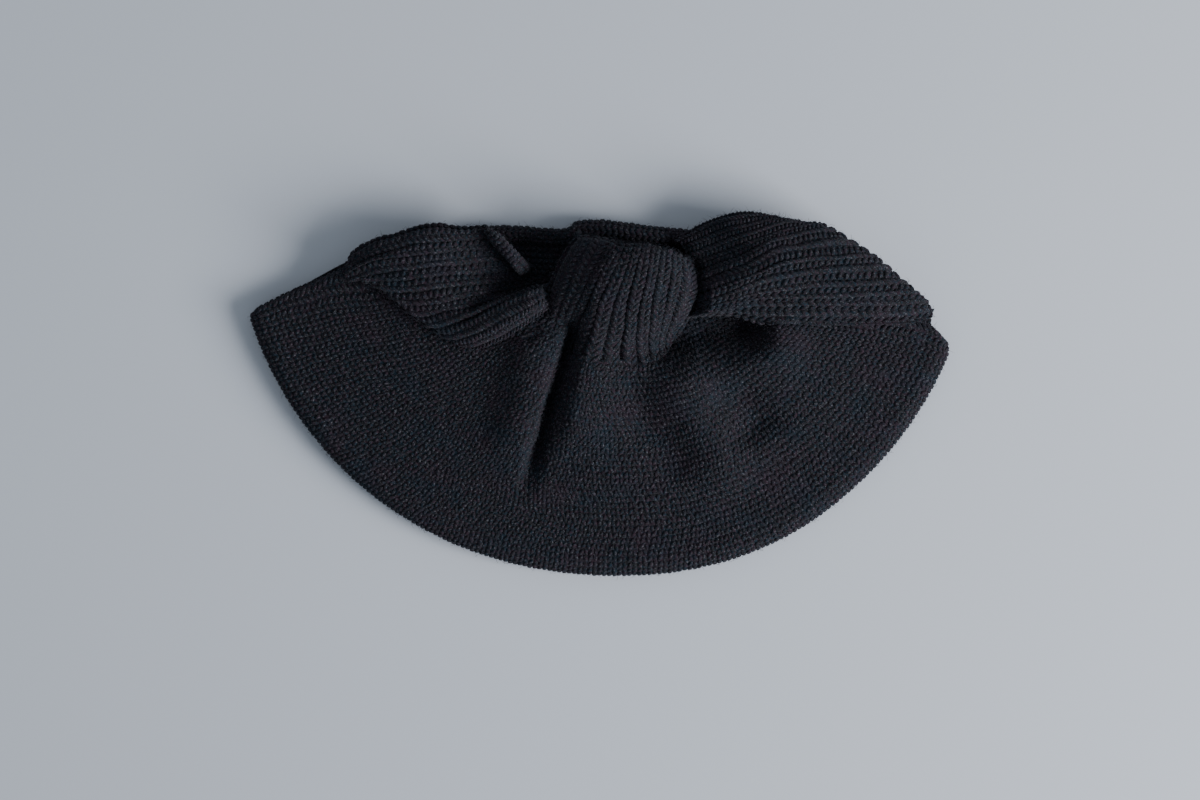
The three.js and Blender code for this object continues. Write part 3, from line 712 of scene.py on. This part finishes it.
# Lines between the ribs, from the knot outwards. The first is at the back and the last is at the front.
LEFT_RIBS = [
    [(-57.7, 87.6), (-67.6, 86.6), (-75.4, 87.1), (-83.2, 88.1), (-93.6, 86.6), (-104, 83.5), (-114.4, 80.9),
     (-121.7, 77.7), (-127.9, 73.6), (-131.6, 67.3)],
    [(-53.6, 81.4), (-59.8, 79.3), (-79.6, 78.3), (-93.6, 77.7), (-101.4, 75.7), (-112.8, 72.5),
     (-121.7, 68.9), (-127.9, 65.8), (-131, 62.1)],
    [(-49.4, 76.2), (-53, 74.6), (-68.1, 74.1), (-79.6, 73.1), (-89.4, 72), (-99.3, 71), (-114.4, 69.4),
     (-123.8, 65.8), (-130, 61.6), (-130, 59.5)],
    [(-40.6, 69.9), (-45.2, 70.2), (-57.2, 68.4), (-71.2, 66.8), (-84.2, 65.8), (-94.6, 64.2),
     (-104.5, 63.2), (-117.5, 61.1), (-123.8, 59), (-127.4, 58.5)],
    [(-33.3, 64.7), (-39, 64.2), (-59.8, 63.2), (-73.8, 62.1), (-87.9, 60.6), (-100.9, 58.5), (-111.8, 58.5),
     (-122.7, 58.5)],
    [(-28.1, 61.1), (-33.8, 60.3), (-43.2, 59.5), (-58.8, 58), (-64.5, 56.9), (-80.6, 54.9), (-93.6, 52.8),
     (-104.5, 52.3), (-113.9, 54.3)],
    [(-26, 60.1), (-31.2, 58.8), (-45.8, 55.4), (-55.6, 52.8), (-71.2, 49.7), (-82.2, 46.5), (-97.8, 46),
     (-106.1, 48.6)],
    [(-25, 60.1), (-30.2, 58), (-43.2, 53.3), (-54.6, 49.7), (-67.1, 45.5), (-76.4, 43.9), (-86.3, 40.8),
     (-93.6, 39.8), (-97.2, 41.3)],
    [(-25.5, 58), (-29.6, 56.9), (-34.8, 56.2), (-47.3, 50.7), (-57.2, 45.5), (-68.1, 39.3), (-76.4, 36.1),
     (-82.7, 34.1), (-86.3, 34.1)],
    [(-25.5, 50.7), (-29.6, 48.6), (-36.4, 44.5), (-51.5, 37.2), (-59.8, 32.5), (-68.6, 29.1), (-73.3, 27.8),
     (-76.4, 28.6)],
    [(-25, 45.5), (-28.6, 42.9), (-35.9, 37.7), (-47.3, 30.4), (-58.2, 25.5), (-64, 23.9), (-68.1, 24.4)],
]
RIGHT_RIBS = [
    [(37.4, 81.4), (45.8, 85), (51, 88.1), (61.9, 92.3), (72.8, 94.4), (82.2, 93.9), (90.5, 92.3),
     (94.6, 89.2)],
    [(41.6, 77.2), (54.6, 82.9), (65, 86.6), (75.4, 88.7), (85.8, 90.7), (94.6, 91.3), (99.3, 89.2)],
    [(43.7, 72.5), (54.6, 77.2), (67.6, 81.9), (79.6, 85.5), (86.8, 88.1), (96.2, 90.2), (105.6, 89.2)],
    [(46.3, 68.4), (57.2, 72.5), (70.2, 77.2), (84.8, 82.4), (96.7, 86.6), (110.8, 89.2)],
    [(48.9, 64.2), (58.2, 67.9), (70.2, 72), (79, 76.2), (86.8, 80.3), (94.6, 82.4), (104.5, 85),
     (116.5, 87.6)],
    [(47.8, 58), (52, 59.5), (60.8, 63.2), (68.1, 65.8), (74.9, 68.9), (82.7, 73.1), (91, 76.7),
     (99.8, 77.7), (106.6, 79.8), (116.5, 81.4), (126.9, 81.4)],
    [(48.9, 52.3), (53.6, 53.8), (64, 57.5), (72.8, 60.6), (81.1, 63.7), (91, 68.4), (100.9, 70.5),
     (110.8, 71.5), (120.6, 72), (138.3, 74.1)],
    [(48.9, 47.6), (53.6, 49.1), (62.4, 51.7), (74.9, 56.9), (84.8, 61.1), (94.6, 63.2), (106.6, 65.3),
     (116, 66.3), (126.9, 67.3), (145.1, 68.9)],
    [(48.4, 44.5), (53, 45.5), (63.4, 47.6), (75.4, 51.2), (85.8, 53.8), (94.6, 55.4), (104.5, 57.5),
     (114.9, 58.5), (124.8, 59), (135.7, 59.5), (153.9, 61.1)],
    [(46.8, 42.1), (52, 42.9), (63.4, 44.5), (75.4, 48.6), (86.8, 50.7), (100.9, 51.2), (110.8, 51.7),
     (120.6, 52.3), (130.5, 52.8), (144.6, 53.8), (161.2, 55.4)],
    [(45.2, 40.8), (50.4, 41.3), (62.4, 42.9), (72.8, 45.5), (81.1, 47.1), (94.6, 47.1), (110.8, 47.1),
     (120.6, 47.1), (135.7, 48.1), (150.8, 48.6), (166.9, 50.2)],
    [(44.2, 40), (48.9, 40.6), (59.8, 41.9), (70.7, 42.9), (79, 42.9), (94.6, 42.9), (105.6, 43.4),
     (124.8, 43.4), (145.6, 42.9), (170, 45.5)],
    [(42.6, 39.5), (46.8, 39.8), (58.8, 40.8), (70.7, 40.3), (81.1, 37.2), (100.9, 36.7), (120.6, 36.7),
     (140.4, 36.7), (159.6, 37.7), (171.1, 40.8)],
]
LEFT_TOP = table(
    [[34, 22, 10, 11, 22, 27, 25],
     [34, 24, 11, 12, 31, 38, 35],
     [35, 28, 14, 14, 36, 42, 39],
     [34, 34, 31, 30, 38, 42, 39],
     [31, 34, 35, 34, 37, 39, 36],
     [24, 27, 29, 30, 31, 31, 29]],
    [0, 0.2, 0.45, 0.7, 0.8, 0.9, 1],
    [0, 0.07, 0.2, 0.42, 0.65, 1],
)
RIGHT_TOP = table(
    [[22, 24, 26, 27, 27, 26, 25, 24],
     [24, 29, 35, 39, 38, 35, 32, 30],
     [25, 31, 39, 44, 43, 38, 32, 29],
     [31, 38, 41, 43, 42, 38, 32, 28],
     [33, 36, 38, 39, 38, 36, 30, 25],
     [30, 31, 32, 33, 32, 30, 25, 21]],
    [0, 0.25, 0.42, 0.5, 0.6, 0.75, 0.92, 1],
    [0, 0.08, 0.25, 0.5, 0.75, 1],
)
BAND_ROLL = [(-0.5, 0.1), (-0.7, 0.3), (0.2, 0.6), (2.5, 0.85), (7, 1), (14, 1), (21, 1), (27, 1), (90, 1)]
BAND_END = [(-0.5, 0.1), (-0.8, 0.3), (0, 0.6), (2, 0.85), (4.5, 1), (7, 1)]


OVER_GAP = 0.6  # between a band half and the crown's top wall
OVER_MOUTH = 13.0  # height of a band half's underside beyond that wall


def over_crown(x, y):
    """The lowest a band half may lie."""
    from_rim = RIM_RADIUS[0] - np.hypot(x - RIM_CENTRE[0], y - RIM_CENTRE[1])
    return np.where((y < 66) & (from_rim > 6), crown_height(x, y) + OVER_GAP, OVER_MOUTH)


def band_half(lines, top, deep):
    """One half of the band. top reads its heights, and deep the depth of the grooves between its ribs."""
    surface = guided(lines, lambda s, t, x, y: top(s, t), RIB_WIDE, BAND_ROLL, BAND_END, over_crown)
    surface.normals = even(surface.normals)
    return grooved(surface, deep)


def rib_grooves(deeper, place, end):
    """How deep the grooves between ribs are. The one at a place is deeper near the knot, up to its end."""
    return lambda u, v: 0.7 + deeper * np.exp(-(((u - place) / 0.4) ** 2)) * smooth((end - v) / 20)


# The line of the roll's top, the way that it faces, and its section as (out, up) from that line
ROLL_LINE = [(-57.5, 84.8, 35), (-54, 82, 38), (-49, 77, 39), (-44, 71.5, 38), (-40, 67, 33), (-36, 63, 15)]
ROLL_OUT = (0.74, 0.67, 0.0)
ROLL_SECTION = [
    (-4.5, -8), (-4, -4), (-2.4, -1), (0, 0), (1.8, -1.2), (2.9, -4), (3, -8), (2, -13), (0, -18),
]
ROLL_GRID = (36, 40)  # points across and along


def rolled_edge():
    """The band's rolled edge over the hollow on the knot's left."""
    line = at(curve(ROLL_LINE), np.linspace(0, 1, ROLL_GRID[1]))
    out = np.array(ROLL_OUT)
    section = at(curve(ROLL_SECTION), np.linspace(0, 1, ROLL_GRID[0]))
    shares = np.linspace(0, 1, ROLL_GRID[1])[None, :, None]
    taper = 1 - 0.6 * smooth((shares - 0.75) / 0.25) - 0.4 * smooth((0.2 - shares) / 0.2)
    across, up = section[:, :1, None] * taper, section[:, 1:, None] * taper
    grid = line[None] + across * out + up * np.array([0, 0, 1.0])
    return Surface(np.linspace(0, 1, ROLL_GRID[0]), run_of(line), grid)


def even(normals):
    """Normals without sudden turns."""
    return unit(averaged(averaged(normals, 2, 0), 2, 1))


def wall_of(name, surface, wall, depth, v_step=1, trim=0, cut=0):
    """A smooth wall so deep under a surface. trim and cut leave out its outermost columns and last rows."""
    kept = slice(trim, len(surface.us) - trim), slice(0, len(surface.vs) - cut, v_step)
    points = surface.points[kept]
    normals = even(surface.normals)[kept]
    outer = points - normals * depth
    return shell(name, outer, outer - normals * (wall - depth))


# Knot

# Lines between its columns, from the crown up and over, from its left to its right
KNOT_COLUMNS = [
    [(-33.3, 30.9), (-30.7, 39.8), (-28.6, 48.6), (-26, 56.4), (-21.8, 66.8), (-16.6, 76.2), (-12, 81.9)],
    [(-27, 28.3), (-22.9, 38.2), (-19.8, 47.6), (-16.6, 55.4), (-12.5, 65.8), (-7.8, 74.1), (-4.2, 81.4)],
    [(-20.8, 26.8), (-16.6, 35.6), (-12.5, 45), (-8.8, 52.8), (-5.2, 60.6), (0, 69.9), (5.7, 79.3)],
    [(-15.1, 25.7), (-12, 36.7), (-8.3, 43.9), (-6.2, 49.1), (-3.1, 56.4), (2.1, 66.8), (9.4, 77.2)],
    [(-12, 15.9), (-8.3, 26.8), (-5.2, 33), (-2.6, 40.8), (-1, 47.1), (2.1, 52.8), (6.2, 61.6), (13, 76.7)],
    [(1, 14.3), (2.6, 26.8), (4.2, 33), (5.7, 40.8), (7.8, 48.1), (9.9, 53.8), (13, 63.2), (17.2, 76.7)],
    [(11.4, 13.3), (11.4, 25.7), (12.5, 32), (13, 41.9), (14.6, 50.2), (17.2, 60.6), (21.3, 76.7)],
    [(20.8, 14.3), (19.2, 26.8), (19.2, 32), (19.8, 40.8), (21.3, 49.1), (23.9, 60.6), (26, 76.2)],
    [(27, 15.9), (25.5, 26.8), (25.5, 32), (26, 40.8), (27, 50.2), (29.1, 60.6), (31.2, 75.1)],
    [(32.2, 17.4), (31.2, 26.8), (31.7, 32), (33.3, 40.8), (34.8, 50.2), (36.4, 60.6), (36.9, 73.6)],
    [(35.4, 21.1), (34.8, 29.4), (36.9, 37.2), (39.5, 46), (41.6, 55.4), (42.6, 63.7), (42.1, 71)],
    [(36.4, 24.2), (40.6, 31.5), (45.8, 39.8), (49.9, 47.1), (52, 54.3), (50.4, 62.7), (46.8, 68.9)],
]
KNOT_ROLL = [(-0.3, 0.0), (-0.5, 0.25), (0, 0.6), (2, 0.9), (5, 1.1)]
KNOT_END = [(-0.6, 0.1), (-0.9, 0.3), (-1, 0.7), (-0.8, 1.2), (0.2, 1.9), (3, 2.6)]


# Heights of its middle and its sides, as (places along it, heights there)
KNOT_MIDDLE = ([0, 0.15, 0.3, 0.5, 0.7, 0.88, 1], [29, 34, 39, 46, 51, 52, 49])
KNOT_SIDE = ([0, 0.2, 0.5, 0.9, 1], [24, 26, 29, 31, 32])
KNOT_ROUND = (2.4, 0.62)  # powers of its dome's section
KNOT_RISE = 0.38  # share of its length over which it rises out of the crown
KNOT_COLUMN = 5.8  # width


def knot_height(s, t, x, y):
    middle = np.interp(t, *KNOT_MIDDLE)
    side = np.interp(t, *KNOT_SIDE)
    across = np.abs(2 * s - 1)
    dome = side + (middle - side) * (1 - across ** KNOT_ROUND[0]) ** KNOT_ROUND[1]
    return mix(crown_height(x, y) + 0.2, dome, smooth(t / KNOT_RISE))


def knot_grooves(u, v):
    low = smooth((52 - v) / 24)
    return 0.4 + (2.0 + 1.2 * np.sin(u * 2.3)) * low * smooth((u - 2.5) / 1) * smooth((11 - u) / 1)


def knot_surface():
    def low(x, y):
        return 6 + 18 * smooth((y - 45) / 15)

    surface = guided(KNOT_COLUMNS, knot_height, KNOT_COLUMN, KNOT_ROLL, KNOT_END, low, dense=10)
    return grooved(surface, knot_grooves)


# Band behind the knot

BAND_EDGE = [
    (-120, 72), (-100, 79), (-57, 88.5), (-20, 87), (-12, 91), (2, 91.5), (22, 89), (47, 86.5), (100, 82),
    (136, 65),
]
# Its folded section, from its underside round its outer edge, as (inset from that edge, height)
BAND_SECTION = [
    (33, 4.8), (12, 4.8), (2, 5.2), (0, 9), (1.2, 14), (4.5, 16.8), (8.5, 15), (11.5, 11), (34, 10.4),
]
BAND_FOOT = 4.8
BAND_FULL = (14, 30, 16)  # x that it stands highest round, half the width there, and how it falls off
BAND_SHARE = (0.3, 0.7)  # of its height: what falls off and what stays
BAND_GRID = (72, 200)  # points across and along


def back_band_surface():
    line = at(curve(BAND_EDGE), np.linspace(0, 1, BAND_GRID[1]))
    section = at(curve(BAND_SECTION), np.linspace(0, 1, BAND_GRID[0]))
    middle, half, fall = BAND_FULL
    full = smooth(1 - (np.abs(line[:, 0] - middle) - half) / fall) * BAND_SHARE[0] + BAND_SHARE[1]
    y = line[:, 1][None, :] - section[:, 0][:, None]
    z = BAND_FOOT + (section[:, 1][:, None] - BAND_FOOT) * full[None, :]
    grid = np.dstack([np.broadcast_to(line[:, 0], y.shape), y, z])
    return Surface(np.linspace(0, 1, BAND_GRID[0]), run_of(line), grid)


# Materials


def set_inputs(node, values):
    for name, value in values.items():
        node.inputs[name].default_value = value


def wool(name, colours, bump=0.5):
    """Plied wool: colours are (dark, light, cool, warm, fleck)."""
    dark, light, cool, warm, fleck = colours
    material = bpy.data.materials.new(name)
    material.use_nodes = True
    nodes, links = material.node_tree.nodes, material.node_tree.links
    shader = nodes["Principled BSDF"]
    set_inputs(shader, {
        "Roughness": 0.85, "Specular IOR Level": 0.14,
        "Sheen Weight": 0.07, "Sheen Roughness": 0.4, "Sheen Tint": (0.7, 0.72, 0.8, 1),
    })
    place = nodes.new("ShaderNodeTexCoord")

    def noise(scale, shift=0.0):
        node = nodes.new("ShaderNodeTexNoise")
        set_inputs(node, {"Scale": scale, "Detail": 2.0})
        moved = nodes.new("ShaderNodeVectorMath")
        moved.inputs[1].default_value = (shift, 2 * shift, -shift)
        links.new(place.outputs["Object"], moved.inputs[0])
        links.new(moved.outputs["Vector"], node.inputs["Vector"])
        return node.outputs["Fac"]

    def blend(factor, low, high, a, b, most=1.0):
        """Goes from a to b, as far as most, where the factor goes from low to high."""
        ramp = nodes.new("ShaderNodeMapRange")
        set_inputs(ramp, {"From Min": low, "From Max": high, "To Max": most})
        links.new(factor, ramp.inputs["Value"])
        node = nodes.new("ShaderNodeMix")
        node.data_type = "RGBA"
        links.new(ramp.outputs["Result"], node.inputs["Factor"])
        for socket, value in ((node.inputs[6], a), (node.inputs[7], b)):
            if isinstance(value, tuple):
                socket.default_value = (*value, 1)
            else:
                links.new(value, socket)
        return node.outputs[2]

    tone = nodes.new("ShaderNodeAttribute")
    tone.attribute_name = "tone"
    fibres = noise(1100)
    colour = blend(fibres, 0.40, 0.64, dark, light)
    colour = blend(tone.outputs["Fac"], 0.0, 1.0, colour, light, 0.35)
    # Over it: a noise's scale and shift, where it starts and is full, its colour, and how much of it
    for scale, shift, low, high, over, most in (
        (700, 1.3, 0.50, 0.62, cool, 0.85),
        (640, 2.9, 0.52, 0.64, warm, 0.85),
        (70, 5.3, 0.50, 0.72, cool, 0.4),
        (55, 6.7, 0.50, 0.72, warm, 0.4),
        (1250, 4.1, 0.58, 0.70, fleck, 0.9),
    ):
        colour = blend(noise(scale, shift), low, high, colour, over, most)
    links.new(colour, shader.inputs["Base Color"])
    lumps = nodes.new("ShaderNodeBump")
    set_inputs(lumps, {"Strength": bump, "Distance": 0.0006})
    links.new(fibres, lumps.inputs["Height"])
    links.new(lumps.outputs["Normal"], shader.inputs["Normal"])
    return material


def dress(obj, material, replaced=None):
    obj.data.materials.append(material)
    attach(obj, "root")
    if replaced:
        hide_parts(replaced)
    return obj


DARK = (0.0055, 0.0056, 0.0070)
LIGHT = (0.0195, 0.0202, 0.0252)
COOL = (0.0065, 0.0175, 0.029)
WARM = (0.0275, 0.0145, 0.0245)
FLECK = (0.080, 0.082, 0.097)
WOOL = (DARK, LIGHT, COOL, WARM, FLECK)
knit_wool = wool("knit_wool", WOOL)
rib_wool = wool("rib_wool", WOOL)
wall_wool = wool("wall_wool", WOOL)
FUZZ_BRIGHTER = 1.3  # loose fibres against the yarn
fuzz_wool = wool("fuzz_wool", tuple(tuple(FUZZ_BRIGHTER * c for c in colour) for colour in WOOL), 0.0)


# The hat

left_band = band_half(LEFT_RIBS, LEFT_TOP, rib_grooves(2.6, 8, 70))
right_band = band_half(RIGHT_RIBS, RIGHT_TOP, rib_grooves(2.2, 6, 60))
edge_roll = rolled_edge()
crown, crown_lengths = crown_surface()
knot = knot_surface()
back_band = back_band_surface()


def outline(lines):
    """The closed outline of a set of guide lines."""
    lines = [np.asarray(line, float) for line in lines]
    sides = [lines[0][::-1], np.array([line[0] for line in lines[1:-1]]), lines[-1]]
    ends = np.array([line[-1] for line in lines[-2:0:-1]])
    return np.concatenate(sides + [ends])


def well_inside(lines, x, y, by):
    """Whether plan points lie under guide lines, at least so far from their outline."""
    edge = outline(lines)
    found = inside(edge, x, y)
    far, _ = beside(np.vstack([edge, edge[:1]]), x, y)
    return found & (np.abs(far) > by)


HIDDEN_BY = 9  # the crown's stitches end so far in under the band and the knot
KNOT_FOOT = (1.5, 30)  # the same at the knot's foot, and the y up to which that goes


def crown_shows(centre, u, v):
    x, y = centre[..., 0], centre[..., 1]
    seen = (v < np.interp(u, crown.us, crown_lengths) - 1.5) & ((v > 2) | (np.abs(u) < 0.985))
    for lines in (LEFT_RIBS, RIGHT_RIBS):
        seen &= ~well_inside(lines, x, y, HIDDEN_BY)
    at_foot = well_inside(KNOT_COLUMNS, x, y, KNOT_FOOT[0]) & (y < KNOT_FOOT[1])
    return seen & ~well_inside(KNOT_COLUMNS, x, y, HIDDEN_BY) & ~at_foot


def fibres(name, surface, count, slot, seen=None):
    """Loose fibres, counted before those that don't show are left out."""
    return dress(fuzz(name + "_fuzz", surface, count, seen), fuzz_wool)


END_WRAP = 17  # length of a band half's ribs that lies over its end
KNOT_WRAP = 22  # length of the knot's columns under its end
RIB_DEPTH = 1.2  # of the smooth wall under the ribs
KNOT_DEPTH = 1.15  # of the smooth wall under the knot's columns
ROLL_WALL = 2.8  # thickness of the rolled edge's wall, which lies half as deep
ROLL_LANE = 4.6  # width of its columns
BACK_BAND_WALL = 2.4

crown_lanes = lay_lanes(crown, STITCH_WIDE, flat=True)
crown_rows = np.arange(-9, 172, STITCH_HIGH)
crown_pieces = [fibres("crown", crown, 9000, "knit", crown_shows)]
for name, low, high in (("left", -2, -0.28), ("middle", -0.28, 0.3), ("right", 0.3, 2)):
    part = knit(
        "crown_knit_" + name, crown, crown_lanes, crown_rows,
        keep=lambda c, u, v: crown_shows(c, u, v) & (u >= low) & (u < high),
    )
    crown_pieces.append(dress(part, knit_wool))
crown_wall, crown_back = (
    dress(part, wall_wool, "crown") for part in crown_walls(crown, crown_lengths)
)


def shows_on(surface, ribs):
    """Where a band half's ribs and fibres show, which is not in the corners of its underside."""

    def band_shows(centre, u, v):
        beside_edge = np.minimum(u, len(ribs) - 1 - u)
        beyond = v - surface.vs[-1] + END_WRAP
        return (beside_edge > -3) & ((beside_edge > 0) | (beyond < 0)) & ((beside_edge > 1) | (beyond < 4))

    return band_shows


for name, surface, ribs, flat, area in (
    ("wing_left", left_band, LEFT_RIBS, (0.115, 0.064), 0.0066),
    ("wing_right", right_band, RIGHT_RIBS, (0.132, 0.068), 0.0078),
):
    rows = np.arange(1, surface.vs[-1] - 6, STITCH_HIGH)
    shows = shows_on(surface, ribs)
    stitches = knit(name + "_ribs", surface, even_lanes(surface), rows, shows, up=-1)
    dress(stitches, rib_wool)
    wall = wall_of(name + "_wall", surface, BAND_WALL, RIB_DEPTH, v_step=2, trim=6, cut=2)
    dress(wall, wall_wool, name)
    loose = fibres(name, surface, 2600, "rib", shows)

roll_rows = np.arange(1, edge_roll.vs[-1] - 1, 2.9)
edge = dress(knit("wing_left_edge", edge_roll, lay_lanes(edge_roll, ROLL_LANE), roll_rows), rib_wool)
edge_wall = wall_of("wing_left_edge_wall", edge_roll, ROLL_WALL, ROLL_WALL / 2)
dress(edge_wall, wall_wool, "wing_left")

knot_rows = np.arange(1, knot.vs[-1] - 4, STITCH_HIGH)


def knot_shows(centre, u, v):
    return (np.minimum(u, len(KNOT_COLUMNS) - 1 - u) > 1) | (v < knot.vs[-1] - KNOT_WRAP)


knot_pieces = [dress(knit("knot_knit", knot, even_lanes(knot), knot_rows, knot_shows), knit_wool),
               fibres("knot", knot, 1500, "knit", knot_shows)]
knot_wall = wall_of("knot_wall", knot, WALL, KNOT_DEPTH, v_step=2, trim=2, cut=3)
dress(knot_wall, wall_wool, "knot")

band_rows = np.arange(1, back_band.vs[-1] - 1, STITCH_HIGH)
band_ribs = knit("back_band_ribs", back_band, lay_lanes(back_band, RIB_WIDE), band_rows)
dress(band_ribs, rib_wool)
band_wall = wall_of("back_band_wall", back_band, BACK_BAND_WALL, RIB_DEPTH, v_step=3)
dress(band_wall, wall_wool, "back_band")
fibres("back_band", back_band, 1200, "rib")


# Floor, light and camera

PHOTO_WIDE = 624.0  # of the floor across the photo's frame, in millimetres
FRAME_MIDDLE = (0.0, -2.4)  # in millimetres
CAMERA_UP = 1.5
SENSOR = 36
FLOOR_COLOUR = (0.575, 0.615, 0.69, 1)
SKY_COLOUR = (0.84, 0.92, 1.0, 1)
SKY_STRENGTH = 0.38
KEY_PLACE = (1.62, -0.62, 1.0)
KEY_SIZE = 1.1
KEY_WATTS = 62


def stage():
    bpy.ops.mesh.primitive_plane_add(size=6, location=(0, 0, 0))
    floor = bpy.context.object
    floor.name = "floor"
    material = bpy.data.materials.new("pale_floor")
    material.use_nodes = True
    shader = material.node_tree.nodes["Principled BSDF"]
    set_inputs(shader, {"Base Color": FLOOR_COLOUR, "Roughness": 0.85})
    floor.data.materials.append(material)
    world = bpy.data.worlds.new("world")
    bpy.context.scene.world = world
    world.use_nodes = True
    set_inputs(world.node_tree.nodes["Background"], {"Color": SKY_COLOUR, "Strength": SKY_STRENGTH})


def key_light():
    """A soft light on the right, which faces the hat."""
    light = bpy.data.lights.new("key", "AREA")
    light.size = KEY_SIZE
    light.energy = KEY_WATTS
    obj = add("key", light)
    obj.location = KEY_PLACE
    obj.rotation_euler = (-Vector(KEY_PLACE)).to_track_quat("-Z", "Y").to_euler()


def camera():
    data = bpy.data.cameras.new("camera")
    data.sensor_width = SENSOR
    data.lens = SENSOR * CAMERA_UP / (PHOTO_WIDE * MM)
    obj = add("camera", data)
    obj.location = (FRAME_MIDDLE[0] * MM, FRAME_MIDDLE[1] * MM, CAMERA_UP)
    bpy.context.scene.camera = obj


stage()
key_light()
camera()
